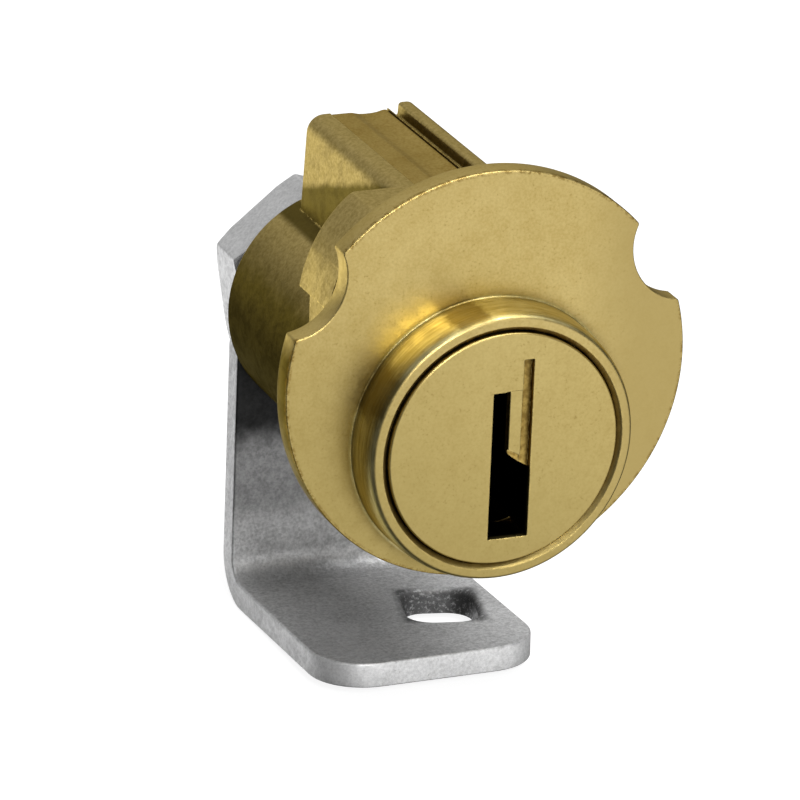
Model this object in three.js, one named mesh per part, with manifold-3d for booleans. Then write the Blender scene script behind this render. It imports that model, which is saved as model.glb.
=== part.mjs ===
// Cam lock: a five-pin tumbler cylinder in a flanged, notched brass housing, with an
// L-shaped steel cam clamped on the plug's tail by a hexagon nut.
// Units are millimetres, +Z up. The plug turns about the Y axis, and the keyway faces -Y.
// The origin is on the plug's axis, in the plane of the flange's rear (seating) face.
import * as THREE from 'three';
import { mergeVertices } from 'three/addons/utils/BufferGeometryUtils.js';
import Module from 'manifold-3d';

const wasm = await Module();
wasm.setup();

// ---------------------------------------------------------------- driving dimensions
// Stations along Y are measured from the front lip of the collar; FACE_Y moves them so that
// the flange's rear face is at Y = 0.
const FACE_Y = 3.9;

const SEG = 72;                 // facets of every circle about the plug's axis

const PLUG_HEAD_R = 6.35;       // visible disc of the plug, 12.7 mm across
const PLUG_HEAD_FRONT = -0.05;
const PLUG_HEAD_REAR = 2.15;
const PLUG_BODY_R = 5.0;
const PLUG_BODY_REAR = 23.38;
const PLUG_EDGE = 0.14;         // chamfer of the visible disc's edge

const HEAD_BORE_R = 6.42;
const HEAD_BORE_REAR = 2.2;
const MOUTH_R = 6.62;           // chamfered mouth round the plug
const MOUTH_DEPTH = 0.24;
const BODY_BORE_R = 5.05;

const COLLAR_R = 7.42;
const COLLAR_ROUND = 0.42;
const COLLAR_FILLET = 0.12;

const FLANGE_R = 11.1;
const FLANGE_Z = 3.13;          // the flange is set above the plug's axis
const FLANGE_FRONT = 2.5;
const FLANGE_REAR = 3.9;
const FLANGE_EDGE = 0.16;
const NOTCH_X = 11.1;
const NOTCH_Z = 9.3;
const NOTCH_R = 3.15;

const SHOULDER_REAR = 10.0;     // wide part of the body, behind the flange
const SHOULDER_R = 7.7;
const SHOULDER_Z = 5.2;
const SHOULDER_FLAT_X = 6.95;   // the shoulder is cut back below the clip ledges
const SHOULDER_LEDGE_Z = 6.25;
const CLIP_GROOVE_FRONT = 4.6;
const CLIP_GROOVE_REAR = 5.8;
const CLIP_GROOVE_X = 7.0;

const BARREL_R = 6.47;
const BARREL_REAR = 23.1;

const LOBE_REAR = 22.0;         // pin housing on top of the barrel
const LOBE_TOP = 11.15;
const LOBE_LEFT_FOOT = -2.95;
const LOBE_LEFT_TOP = -2.65;
const LOBE_RIGHT_FOOT = 3.75;
const LOBE_RIGHT_TOP = 3.5;
const LOBE_ROUND = 0.95;
const RIB_LEFT = 2.62;          // raised rib along the lobe's right edge
const RIB_TOP = 11.42;
const GROOVE_LEFT = 2.08;
const GROOVE_FLOOR = 10.72;

const COVER_LEFT = -1.3;        // spring cover strip, slid in from the rear
const COVER_RIGHT = 1.98;
const COVER_FRONT = 4.7;
const COVER_REAR = 21.9;
const COVER_FLOOR = 10.5;
const COVER_THICK = 0.56;
const COVER_GAP = 0.03;

const PIN_X = 0.33;             // the pin row stands over the keyway's middle
const PIN_Y = [6.6, 9.8, 13.0, 16.2, 19.4];
const PIN_R = 1.2;
const PIN_BORE_R = 1.28;
const KEY_PIN_TOP = 4.74;
const KEY_PIN_LENGTH = [3.9, 3.3, 4.4, 3.6, 4.1];
const PIN_BORE_FLOOR = -0.26;   // a key pin drops to here when no key is in
const DRIVER_BOTTOM = 5.08;
const DRIVER_LENGTH = 3.0;
const SPRING_R = 0.93;          // to the wire's centre
const SPRING_WIRE = 0.15;
const SPRING_TURNS = 5.25;

const KEYWAY_DEPTH = 21.6;
const TAIL_R = 2.95;            // double-D tail, threaded M6 on the real part
const TAIL_HALF_FLAT = 2.25;
const TAIL_REAR = 29.0;

const CAM_FRONT = 23.4;
const CAM_T = 1.4;
const CAM_LEFT = -5.65;
const CAM_RIGHT = 7.05;
const CAM_HEAD_R = 5.6;
const CAM_TOP_Z = -16.09;       // upper face of the forward leg, at the bend
const CAM_TILT = 3.0;           // degrees by which the forward leg rises
const CAM_REACH = 8.67;         // station of the forward leg's free edge
const CAM_BEND_IN = 1.3;
const CAM_CORNER = 3.0;
const CAM_SLOT = { x: 3.65, y: 15.70, width: 3.94, length: 4.8, round: 1.4, turn: -15 };

const NUT_FRONT = 24.84;         // the nut bears on the cam's rear face
const NUT_REAR = 28.04;
const NUT_AF = 10.0;
const NUT_TURN = 9.2;           // degrees

const STOP = { rIn: 5.15, rOut: 5.9, half: 6, depth: 0.95 };   // stop lug behind the plug's head

// ---------------------------------------------------------------- helpers
const deg = THREE.MathUtils.degToRad;

function solid(geometry) {
  const g = geometry.clone();
  g.deleteAttribute('normal');
  g.deleteAttribute('uv');
  const m = mergeVertices(g, 1e-5);
  const mesh = new wasm.Mesh({
    numProp: 3,
    vertProperties: new Float32Array(m.attributes.position.array),
    triVerts: new Uint32Array(m.index.array),
  });
  return new wasm.Manifold(mesh);
}

function geometryOf(body) {
  const m = body.getMesh();
  const g = new THREE.BufferGeometry();
  g.setAttribute('position', new THREE.BufferAttribute(new Float32Array(m.vertProperties), 3));
  g.setIndex(new THREE.BufferAttribute(new Uint32Array(m.triVerts), 1));
  return g;
}

// A cylinder along Y between two stations.
function cylY(r, y0, y1, x = 0, z = 0, n = SEG) {
  const g = new THREE.CylinderGeometry(r, r, y1 - y0, n);
  g.translate(x, (y0 + y1) / 2, z);
  return solid(g);
}

// A cylinder along Z.
function cylZ(r, z0, z1, x, y, n = 20) {
  const g = new THREE.CylinderGeometry(r, r, z1 - z0, n);
  g.applyMatrix4(new THREE.Matrix4().set(1, 0, 0, 0, 0, 0, -1, 0, 0, 1, 0, 0, 0, 0, 0, 1));
  g.translate(x, y, (z0 + z1) / 2);
  return solid(g);
}

function box(x0, x1, y0, y1, z0, z1) {
  const g = new THREE.BoxGeometry(x1 - x0, y1 - y0, z1 - z0);
  g.translate((x0 + x1) / 2, (y0 + y1) / 2, (z0 + z1) / 2);
  return solid(g);
}

// A solid of revolution about Y; the profile is [radius, station] pairs, closed on the axis.
function latheY(profile, n = SEG, x = 0, z = 0) {
  const g = new THREE.LatheGeometry(profile.map(([r, y]) => new THREE.Vector2(r, y)), n);
  g.translate(x, 0, z);
  return solid(g);
}

// An outline in X, Z carried along Y between two stations.
function prismY(outline, y0, y1) {
  const s = new THREE.Shape(outline.map(([x, z]) => new THREE.Vector2(x, z)));
  const g = new THREE.ExtrudeGeometry(s, { depth: y1 - y0, bevelEnabled: false });
  g.applyMatrix4(new THREE.Matrix4().set(1, 0, 0, 0, 0, 0, -1, 0, 0, 1, 0, 0, 0, 0, 0, 1));
  g.translate(0, y1, 0);
  return solid(g);
}

// An outline in X, Y carried along Z.
function prismZ(outline, z0, z1) {
  const s = new THREE.Shape(outline.map(([x, y]) => new THREE.Vector2(x, y)));
  const g = new THREE.ExtrudeGeometry(s, { depth: z1 - z0, bevelEnabled: false });
  g.translate(0, 0, z0);
  return solid(g);
}

// An outline in Y, Z carried along X.
function prismX(outline, x0, x1) {
  const s = new THREE.Shape(outline.map(([y, z]) => new THREE.Vector2(y, z)));
  const g = new THREE.ExtrudeGeometry(s, { depth: x1 - x0, bevelEnabled: false });
  g.applyMatrix4(new THREE.Matrix4().set(0, 0, 1, 0, 1, 0, 0, 0, 0, 1, 0, 0, 0, 0, 0, 1));
  g.translate(x0, 0, 0);
  return solid(g);
}

function arc(cx, cy, r, a0, a1, n) {
  const out = [];
  for (let i = 0; i <= n; i++) {
    const a = deg(a0 + (a1 - a0) * i / n);
    out.push([cx + r * Math.cos(a), cy + r * Math.sin(a)]);
  }
  return out;
}

// A ring sector about Y. Angles run from +Z towards +X.
function sectorY(rIn, rOut, a0, a1, y0, y1, n) {
  const pts = [];
  for (let i = 0; i <= n; i++) {
    const a = deg(a0 + (a1 - a0) * i / n);
    pts.push([rOut * Math.sin(a), rOut * Math.cos(a)]);
  }
  for (let i = n; i >= 0; i--) {
    const a = deg(a0 + (a1 - a0) * i / n);
    pts.push([rIn * Math.sin(a), rIn * Math.cos(a)]);
  }
  return prismY(pts, y0, y1);
}

// ---------------------------------------------------------------- housing
function makeHousing() {
  // collar: straight outside, rounded front lip, small fillet on to the flange
  const lip = [];
  for (let i = 0; i <= 5; i++) {
    const a = deg(90 - 90 * i / 5);
    lip.push([COLLAR_R - COLLAR_ROUND + COLLAR_ROUND * Math.cos(a), COLLAR_ROUND - COLLAR_ROUND * Math.sin(a)]);
  }
  const foot = [];
  for (let i = 0; i <= 4; i++) {
    const a = deg(180 + 90 * i / 4);
    foot.push([COLLAR_R + COLLAR_FILLET + COLLAR_FILLET * Math.cos(a),
      FLANGE_FRONT - COLLAR_FILLET - COLLAR_FILLET * Math.sin(a)]);
  }
  let body = latheY([[0, 0], ...lip, ...foot, [COLLAR_R + COLLAR_FILLET, FLANGE_FRONT + 0.3], [0, FLANGE_FRONT + 0.3]]);

  // flange, set upward of the axis, with two round notches
  let flange = latheY([[0, FLANGE_FRONT], [FLANGE_R - FLANGE_EDGE, FLANGE_FRONT], [FLANGE_R, FLANGE_FRONT + FLANGE_EDGE],
    [FLANGE_R, FLANGE_REAR - FLANGE_EDGE], [FLANGE_R - FLANGE_EDGE, FLANGE_REAR], [0, FLANGE_REAR]], 96, 0, FLANGE_Z);
  for (const s of [-1, 1]) {
    flange = flange.subtract(cylY(NOTCH_R, FLANGE_FRONT - 1, FLANGE_REAR + 1, s * NOTCH_X, NOTCH_Z, 48));
  }
  body = body.add(flange);

  // shoulder behind the flange: a wide round back with a flat top
  const topX = Math.sqrt(SHOULDER_R ** 2 - (LOBE_TOP - 0.35 - SHOULDER_Z) ** 2);
  const a0 = THREE.MathUtils.radToDeg(Math.atan2(LOBE_TOP - 0.35 - SHOULDER_Z, topX));
  const shoulder = prismY([
    ...arc(0, SHOULDER_Z, SHOULDER_R, 180 - a0, 360 + a0, 56),
    [topX - 0.45, LOBE_TOP], [-topX + 0.45, LOBE_TOP],
  ], FLANGE_REAR - 0.4, SHOULDER_REAR);
  let back = shoulder;
  for (const s of [-1, 1]) {
    const xs = [s * SHOULDER_FLAT_X, s * 12].sort((p, q) => p - q);
    back = back.subtract(box(xs[0], xs[1], FLANGE_REAR, SHOULDER_REAR + 1, -4, SHOULDER_LEDGE_Z));
    const gs = [s * CLIP_GROOVE_X, s * 12].sort((p, q) => p - q);
    back = back.subtract(box(gs[0], gs[1], CLIP_GROOVE_FRONT, CLIP_GROOVE_REAR, 5.6, 9.6));
  }
  body = body.add(back);

  // barrel and lobe
  body = body.add(cylY(BARREL_R, FLANGE_REAR - 0.4, BARREL_REAR));
  const lobe = [
    [LOBE_LEFT_FOOT, 3.5], [LOBE_RIGHT_FOOT, 3.5], [LOBE_RIGHT_TOP + 0.02, RIB_TOP - 0.32],
    [LOBE_RIGHT_TOP - 0.1, RIB_TOP - 0.09], [LOBE_RIGHT_TOP - 0.3, RIB_TOP], [RIB_LEFT + 0.12, RIB_TOP],
    [RIB_LEFT, RIB_TOP - 0.1], [RIB_LEFT - 0.03, GROOVE_FLOOR], [GROOVE_LEFT + 0.04, GROOVE_FLOOR], [GROOVE_LEFT, LOBE_TOP],
    ...arc(LOBE_LEFT_TOP + LOBE_ROUND, LOBE_TOP - LOBE_ROUND, LOBE_ROUND, 90, 178, 7),
  ];
  body = body.add(prismY(lobe, SHOULDER_REAR - 6, LOBE_REAR));

  // bores
  body = body.subtract(latheY([[0, -1], [MOUTH_R + 0.24, -1], [MOUTH_R, 0], [HEAD_BORE_R, MOUTH_DEPTH],
    [HEAD_BORE_R, HEAD_BORE_REAR], [BODY_BORE_R, HEAD_BORE_REAR], [BODY_BORE_R, BARREL_REAR + 1], [0, BARREL_REAR + 1]]));
  body = body.subtract(sectorY(BODY_BORE_R - 0.3, STOP.rOut + 0.08, -STOP.half - 1, 90 + STOP.half + 1,
    HEAD_BORE_REAR - 0.3, HEAD_BORE_REAR + STOP.depth + 0.08, 24));

  // spring cover's slot and the five pin chambers
  body = body.subtract(box(COVER_LEFT - COVER_GAP, COVER_RIGHT + COVER_GAP, COVER_FRONT - COVER_GAP, LOBE_REAR + 1,
    COVER_FLOOR, LOBE_TOP + 0.5));
  for (const y of PIN_Y) body = body.subtract(cylZ(PIN_BORE_R, 3.6, COVER_FLOOR + 0.2, PIN_X, y, 24));
  return body;
}

// ---------------------------------------------------------------- spring cover
function makeCover() {
  const top = COVER_FLOOR + 0.02 + COVER_THICK;
  const floor = COVER_FLOOR + 0.02;
  // one shallow dished channel runs along the strip
  return prismY([
    [COVER_LEFT, floor], [COVER_RIGHT, floor], [COVER_RIGHT, top - 0.03], [COVER_RIGHT - 0.05, top],
    [1.72, top], [1.5, top - 0.06], [1.1, top - 0.12], [0.7, top - 0.13], [0.3, top - 0.1], [0.05, top - 0.04], [-0.1, top],
    [COVER_LEFT + 0.06, top], [COVER_LEFT, top - 0.05],
  ], COVER_FRONT, COVER_REAR);
}

// ---------------------------------------------------------------- plug
function makePlug() {
  let body = latheY([[0, PLUG_HEAD_FRONT], [PLUG_HEAD_R - PLUG_EDGE, PLUG_HEAD_FRONT],
    [PLUG_HEAD_R, PLUG_HEAD_FRONT + PLUG_EDGE], [PLUG_HEAD_R, PLUG_HEAD_REAR], [PLUG_BODY_R, PLUG_HEAD_REAR],
    [PLUG_BODY_R, PLUG_BODY_REAR], [0, PLUG_BODY_REAR]]);
  // double-D tail
  const tail = latheY([[0, PLUG_BODY_REAR - 0.5], [TAIL_R, PLUG_BODY_REAR - 0.5], [TAIL_R, TAIL_REAR - 0.35],
    [TAIL_R - 0.35, TAIL_REAR], [0, TAIL_REAR]])
    .intersect(box(-TAIL_HALF_FLAT, TAIL_HALF_FLAT, PLUG_BODY_REAR - 1, TAIL_REAR + 1, -4, 4));
  body = body.add(tail);
  // stop lug behind the head
  body = body.add(sectorY(STOP.rIn, STOP.rOut, -STOP.half, STOP.half, PLUG_HEAD_REAR - 0.3, HEAD_BORE_REAR + STOP.depth, 4));

  // keyway: the blade's slot, one side groove and one shallow ledge
  const slot = prismY([
    [-0.70, -4.98], [1.52, -4.98], [1.52, -1.20], [1.21, -1.04], [0.95, -0.87], [0.71, -0.70], [0.29, -0.36],
    [0.27, 3.12], [-0.70, 3.12],
  ], PLUG_HEAD_FRONT - 1, KEYWAY_DEPTH);
  const ledge = prismY([
    [0.20, -0.60], [0.60, -1.00], [1.20, -1.20], [0.94, 3.16], [0.20, 3.16],
  ], PLUG_HEAD_FRONT - 1, PLUG_HEAD_FRONT + 0.14);
  const groove = prismY([[0.93, -1.3], [1.52, -1.3], [1.52, 4.82], [0.93, 4.82]],
    PLUG_HEAD_FRONT - 1, PLUG_HEAD_FRONT + 0.36);
  // behind the head the keyway is open along the plug's underside
  const open = box(-0.70, 1.52, PLUG_HEAD_REAR + 0.3, KEYWAY_DEPTH, -5.3, -4.9);
  body = body.subtract(slot).subtract(open).subtract(ledge).subtract(groove);

  for (const y of PIN_Y) body = body.subtract(cylZ(PIN_BORE_R, PIN_BORE_FLOOR, 6, PIN_X, y, 24));
  return body;
}

// ---------------------------------------------------------------- pins and springs
const lathePinMatrix = new THREE.Matrix4().set(1, 0, 0, 0, 0, 0, -1, 0, 0, 1, 0, 0, 0, 0, 0, 1);

function makeKeyPin(k) {
  const top = KEY_PIN_TOP;
  const tip = top - KEY_PIN_LENGTH[k];
  const p = [[0, tip], [0.42, tip + 0.06], [PIN_R, tip + 0.72], [PIN_R, top], [0.95, top + 0.1], [0.5, top + 0.15], [0, top + 0.16]];
  const g = new THREE.LatheGeometry(p.map(([r, y]) => new THREE.Vector2(r, y)), 20);
  g.applyMatrix4(lathePinMatrix);
  g.translate(PIN_X, PIN_Y[k], 0);
  return g;
}

function makeDriverPin(k) {
  const z0 = DRIVER_BOTTOM;
  const z1 = z0 + DRIVER_LENGTH;
  const p = [[0, z0], [PIN_R - 0.12, z0], [PIN_R, z0 + 0.12], [PIN_R, z1 - 0.4], [PIN_R - 0.12, z1 - 0.28], [0.62, z1 - 0.28],
    [0.62, z1], [0, z1]];
  const g = new THREE.LatheGeometry(p.map(([r, y]) => new THREE.Vector2(r, y)), 20);
  g.applyMatrix4(lathePinMatrix);
  g.translate(PIN_X, PIN_Y[k], 0);
  return g;
}

class Helix extends THREE.Curve {
  constructor(r, z0, z1, turns) {
    super();
    Object.assign(this, { r, z0, z1, turns });
  }
  getPoint(t, target = new THREE.Vector3()) {
    const a = 2 * Math.PI * this.turns * t;
    return target.set(this.r * Math.cos(a), this.r * Math.sin(a), this.z0 + (this.z1 - this.z0) * t);
  }
}

function makeSpring(k) {
  const z0 = DRIVER_BOTTOM + DRIVER_LENGTH - 0.28 + SPRING_WIRE + 0.03;
  const z1 = COVER_FLOOR - SPRING_WIRE - 0.02;
  const section = new THREE.Shape(arc(0, 0, SPRING_WIRE, 0, 300, 5).map(([x, y]) => new THREE.Vector2(x, y)));
  const g = new THREE.ExtrudeGeometry(section, {
    steps: Math.round(SPRING_TURNS * 11), bevelEnabled: false, extrudePath: new Helix(SPRING_R, z0, z1, SPRING_TURNS),
  });
  g.translate(PIN_X, PIN_Y[k], 0);
  return g;
}

// ---------------------------------------------------------------- cam
function makeCam() {
  const y0 = CAM_FRONT;
  const y1 = CAM_FRONT + CAM_T;
  const t = deg(CAM_TILT);
  // side outline in Y, Z: head and leg down, bend, leg forward and slightly up
  const fwd = [-Math.cos(t), Math.sin(t)];      // along the forward leg
  const nrm = [Math.sin(t), Math.cos(t)];       // up from the forward leg
  // the bend's centre is tangent to the leg's front face and to the forward leg's upper face
  const s0 = CAM_BEND_IN * (1 + Math.sin(t)) / Math.cos(t);
  const cy = y0 - CAM_BEND_IN;
  const cz = CAM_TOP_Z + s0 * fwd[1] + CAM_BEND_IN * nrm[1];
  const inner = arc(cy, cz, CAM_BEND_IN, 0, -(90 + CAM_TILT), 8);
  const outer = arc(cy, cz, CAM_BEND_IN + CAM_T, 0, -(90 + CAM_TILT), 8);
  const foot = inner[inner.length - 1];
  const run = (foot[0] - CAM_REACH) / Math.cos(t);
  const tip = [foot[0] + fwd[0] * run, foot[1] + fwd[1] * run];
  const tipOut = [tip[0] - nrm[0] * CAM_T, tip[1] - nrm[1] * CAM_T];
  const side = [
    [y0, CAM_HEAD_R + 2], ...inner, tip, tipOut, ...outer.slice().reverse(), [y1, CAM_HEAD_R + 2],
  ];
  let body = prismX(side, CAM_LEFT, CAM_RIGHT);
  // head seen along Y: the leg's straight sides run up into a rounded head
  const mid = (CAM_LEFT + CAM_RIGHT) / 2;
  const head = prismY([
    [CAM_LEFT, -25], [CAM_RIGHT, -25], [CAM_RIGHT, -3.4],
    ...arc(mid - 0.3, 0, CAM_HEAD_R, -10, 190, 36),
    [CAM_LEFT, -2.4],
  ], 0, 40);
  body = body.intersect(head);
  // forward leg seen from above: two rounded corners
  const plan = prismZ([
    ...arc(CAM_LEFT + CAM_CORNER, CAM_REACH - 0.6 + CAM_CORNER, CAM_CORNER, 180, 270, 12),
    ...arc(CAM_RIGHT - CAM_CORNER, CAM_REACH - 0.6 + CAM_CORNER, CAM_CORNER, 270, 360, 12),
    [CAM_RIGHT, 60], [CAM_LEFT, 60],
  ], -30, 30);
  body = body.intersect(plan);
  // rounded hole for a link rod
  const h = CAM_SLOT.width / 2 - CAM_SLOT.round;
  const l = CAM_SLOT.length / 2 - CAM_SLOT.round;
  const r = CAM_SLOT.round;
  const c = Math.cos(deg(CAM_SLOT.turn));
  const s = Math.sin(deg(CAM_SLOT.turn));
  const slot = [...arc(h, -l, r, -90, 0, 6), ...arc(h, l, r, 0, 90, 6), ...arc(-h, l, r, 90, 180, 6), ...arc(-h, -l, r, 180, 270, 6)]
    .map(([x, y]) => [CAM_SLOT.x + c * x - s * y, CAM_SLOT.y + s * x + c * y]);
  body = body.subtract(prismZ(slot, -25, -10));
  // double-D hole on the tail
  const hole = cylY(TAIL_R + 0.06, y0 - 1, y1 + 1).intersect(
    box(-TAIL_HALF_FLAT - 0.06, TAIL_HALF_FLAT + 0.06, y0 - 2, y1 + 2, -5, 5));
  return body.subtract(hole);
}

// ---------------------------------------------------------------- nut
function makeNut() {
  const R = NUT_AF / Math.sqrt(3);
  const hex = [];
  for (let i = 0; i < 6; i++) {
    const a = deg(60 * i + NUT_TURN - 30);
    hex.push([R * Math.cos(a), R * Math.sin(a)]);
  }
  const body = prismY(hex, NUT_FRONT, NUT_REAR);
  const ease = latheY([[0, NUT_FRONT], [R - 0.6, NUT_FRONT], [R + 0.05, NUT_FRONT + 0.36], [R + 0.05, NUT_REAR - 0.36],
    [R - 0.6, NUT_REAR], [0, NUT_REAR]], 48);
  return body.intersect(ease).subtract(latheY([[0, NUT_FRONT - 1], [TAIL_R + 1.4, NUT_FRONT - 1], [TAIL_R + 0.05, NUT_FRONT + 0.35],
    [TAIL_R + 0.05, NUT_REAR - 0.3], [TAIL_R + 0.5, NUT_REAR + 0.15], [TAIL_R + 0.5, NUT_REAR + 1], [0, NUT_REAR + 1]]));
}

// ---------------------------------------------------------------- assembly
const BRASS = { color: 0xc3ad68, roughness: 0.38, metalness: 1.0 };
const OLD_BRASS = { color: 0xa08c50, roughness: 0.45, metalness: 1.0 };
const PIN_BRASS = { color: 0xc9a85a, roughness: 0.3, metalness: 1.0 };
const STEEL = { color: 0x8d9096, roughness: 0.42, metalness: 1.0 };
const SPRING_STEEL = { color: 0x9c9fa4, roughness: 0.25, metalness: 1.0 };

const lock = new THREE.Group();
lock.position.y = -FACE_Y;

function put(parent, name, shape, look) {
  const geometry = shape.isBufferGeometry ? shape : geometryOf(shape);
  const mesh = new THREE.Mesh(geometry, new THREE.MeshStandardMaterial(look));
  mesh.name = name;
  parent.add(mesh);
  return mesh;
}

put(lock, 'housing', makeHousing(), BRASS);
put(lock, 'spring_cover', makeCover(), OLD_BRASS);

const core = new THREE.Group();     // everything that turns with the plug
lock.add(core);
put(core, 'plug', makePlug(), BRASS);
put(core, 'cam', makeCam(), STEEL);
put(core, 'hex_nut', makeNut(), STEEL);

for (let k = 0; k < PIN_Y.length; k++) {
  put(core, `key_pin_${k + 1}`, makeKeyPin(k), PIN_BRASS);
  put(lock, `driver_pin_${k + 1}`, makeDriverPin(k), PIN_BRASS);
  put(lock, `pin_spring_${k + 1}`, makeSpring(k), SPRING_STEEL);
}

const root = new THREE.Group();
root.add(lock);

export default root;
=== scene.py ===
import math

import bmesh
import bpy
from mathutils import Matrix, Vector


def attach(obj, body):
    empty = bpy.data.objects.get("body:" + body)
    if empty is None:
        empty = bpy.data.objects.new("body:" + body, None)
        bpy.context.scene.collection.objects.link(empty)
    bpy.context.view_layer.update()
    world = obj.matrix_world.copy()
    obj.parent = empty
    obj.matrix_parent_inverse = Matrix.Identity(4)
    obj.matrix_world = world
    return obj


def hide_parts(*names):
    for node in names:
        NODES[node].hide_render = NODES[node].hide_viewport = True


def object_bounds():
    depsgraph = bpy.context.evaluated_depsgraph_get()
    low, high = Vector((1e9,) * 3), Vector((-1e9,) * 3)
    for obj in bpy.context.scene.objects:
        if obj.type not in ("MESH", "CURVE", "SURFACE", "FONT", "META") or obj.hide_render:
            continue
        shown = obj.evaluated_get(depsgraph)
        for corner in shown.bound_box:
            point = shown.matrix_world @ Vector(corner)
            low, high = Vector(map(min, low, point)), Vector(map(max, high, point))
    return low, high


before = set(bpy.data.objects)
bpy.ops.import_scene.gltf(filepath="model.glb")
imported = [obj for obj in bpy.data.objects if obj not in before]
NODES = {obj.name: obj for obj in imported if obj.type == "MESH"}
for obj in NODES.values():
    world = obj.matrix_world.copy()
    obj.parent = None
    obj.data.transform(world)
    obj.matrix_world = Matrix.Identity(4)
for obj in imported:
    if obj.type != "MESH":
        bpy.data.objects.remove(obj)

CAD_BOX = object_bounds()

# The pieces are modelled in millimetres, with Y measured from the collar's front lip.
# FACE_Y is the lip's distance in front of the flange's rear face, where the frame's origin is.
FACE_Y = 3.9

PLUG_HEAD_R = 6.35
PLUG_HEAD_FRONT = -0.05
PLUG_HEAD_REAR = 2.15
PLUG_BODY_R = 5.0
PLUG_BODY_REAR = 23.38
HEAD_BORE_R = 6.42
HEAD_BORE_REAR = 2.2
MOUTH_R = 6.62
BODY_BORE_R = 5.05
COLLAR_R = 7.42
FLANGE_R = 11.1
FLANGE_Z = 3.13
FLANGE_FRONT = 2.5
FLANGE_REAR = 3.9
NOTCH_X = 11.1
NOTCH_Z = 9.3
NOTCH_R = 3.15
SHOULDER_REAR = 10.0
SHOULDER_R = 7.7
SHOULDER_Z = 5.2
SHOULDER_FLAT_X = 6.95
SHOULDER_LEDGE_Z = 6.25
BARREL_R = 6.47
BARREL_REAR = 23.1
LOBE_REAR = 22.0
LOBE_TOP = 11.15
RIB_TOP = 11.42
COVER_FLOOR = 10.5
PIN_X = 0.33
PIN_Y = [6.6, 9.8, 13.0, 16.2, 19.4]
KEYWAY_DEPTH = 21.6
TAIL_R = 2.95
TAIL_HALF_FLAT = 2.25
TAIL_REAR = 29.0
CAM_FRONT = 23.4
CAM_T = 1.4
CAM_LEFT = -5.65
CAM_RIGHT = 7.05
CAM_TOP_Z = -16.09
CAM_TILT = 3.0
CAM_REACH = 8.67
CAM_BEND_IN = 1.3
CAM_CORNER = 3.0
NUT_FRONT = 24.84
NUT_REAR = 28.04
NUT_AF = 10.0
NUT_TURN = 9.2


# ------------------------------------------------------------------ mesh tools
def obj_from(name, verts, faces):
    me = bpy.data.meshes.new(name)
    me.from_pydata([tuple(v) for v in verts], [], faces)
    bm = bmesh.new()
    bm.from_mesh(me)
    bmesh.ops.remove_doubles(bm, verts=bm.verts, dist=1e-5)
    bmesh.ops.recalc_face_normals(bm, faces=bm.faces)
    bm.to_mesh(me)
    bm.free()
    ob = bpy.data.objects.new(name, me)
    bpy.context.scene.collection.objects.link(ob)
    return ob


def rings_solid(name, rings):
    """A closed solid through rings of equally many points, with a flat cap at each end."""
    n = len(rings[0])
    verts = [p for ring in rings for p in ring]
    faces = []
    for k in range(len(rings) - 1):
        a, b = k * n, (k + 1) * n
        for i in range(n):
            j = (i + 1) % n
            faces.append((a + i, a + j, b + j, b + i))
    faces.append(tuple(range(n)))
    faces.append(tuple(reversed(range((len(rings) - 1) * n, len(rings) * n))))
    return obj_from(name, verts, faces)


def lathe(name, profile, seg=180, cx=0.0, cz=0.0):
    """A solid of revolution about Y from (r, y) pairs."""
    rings = []
    for r, y in profile:
        rings.append([(cx + r * math.cos(2 * math.pi * i / seg), y, cz + r * math.sin(2 * math.pi * i / seg)) for i in range(seg)])
    return rings_solid(name, rings)


def offset(outline, d):
    """The closed outline moved inward by d, with mitred corners."""
    n = len(outline)
    area = sum(outline[i][0] * outline[(i + 1) % n][1] - outline[(i + 1) % n][0] * outline[i][1] for i in range(n))
    s = 1.0 if area > 0 else -1.0
    out = []
    for i in range(n):
        p0, p1, p2 = outline[i - 1], outline[i], outline[(i + 1) % n]
        e1 = (p1[0] - p0[0], p1[1] - p0[1])
        e2 = (p2[0] - p1[0], p2[1] - p1[1])
        l1, l2 = math.hypot(*e1) or 1e-9, math.hypot(*e2) or 1e-9
        n1 = (-s * e1[1] / l1, s * e1[0] / l1)
        n2 = (-s * e2[1] / l2, s * e2[0] / l2)
        m = (n1[0] + n2[0], n1[1] + n2[1])
        q = max(m[0] ** 2 + m[1] ** 2, 0.5)
        out.append((p1[0] + m[0] * 2 * d / q, p1[1] + m[1] * 2 * d / q))
    return out


def prism(name, outline, lo, hi, e0=0.0, e1=0.0, along="Y", steps=4):
    """An outline drawn out along an axis, its two rims rounded by e0 and e1."""
    rings = []

    def ring(o, t):
        if along == "Y":
            rings.append([(p[0], t, p[1]) for p in o])
        elif along == "Z":
            rings.append([(p[0], p[1], t) for p in o])
        else:
            rings.append([(t, p[0], p[1]) for p in o])

    if e0 > 0:
        for k in range(steps + 1):
            a = math.radians(90 * k / steps)
            ring(offset(outline, e0 * (1 - math.sin(a))), lo + e0 * (1 - math.cos(a)))
    else:
        ring(outline, lo)
    if e1 > 0:
        for k in range(steps + 1):
            a = math.radians(90 * k / steps)
            ring(offset(outline, e1 * (1 - math.cos(a))), hi - e1 * (1 - math.sin(a)))
    else:
        ring(outline, hi)
    return rings_solid(name, rings)


def box(name, x0, x1, y0, y1, z0, z1):
    return prism(name, [(x0, z0), (x1, z0), (x1, z1), (x0, z1)], y0, y1)


def join_op(a, b, op):
    """a with b added, cut away or kept in common. b is used up."""
    m = a.modifiers.new("op", "BOOLEAN")
    m.object = b
    m.operation = op
    m.solver = "EXACT"
    deps = bpy.context.evaluated_depsgraph_get()
    deps.update()
    me = bpy.data.meshes.new_from_object(a.evaluated_get(deps))
    a.modifiers.clear()
    old = a.data
    a.data = me
    bpy.data.meshes.remove(old)
    old = b.data
    bpy.data.objects.remove(b)
    bpy.data.meshes.remove(old)
    return a


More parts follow.
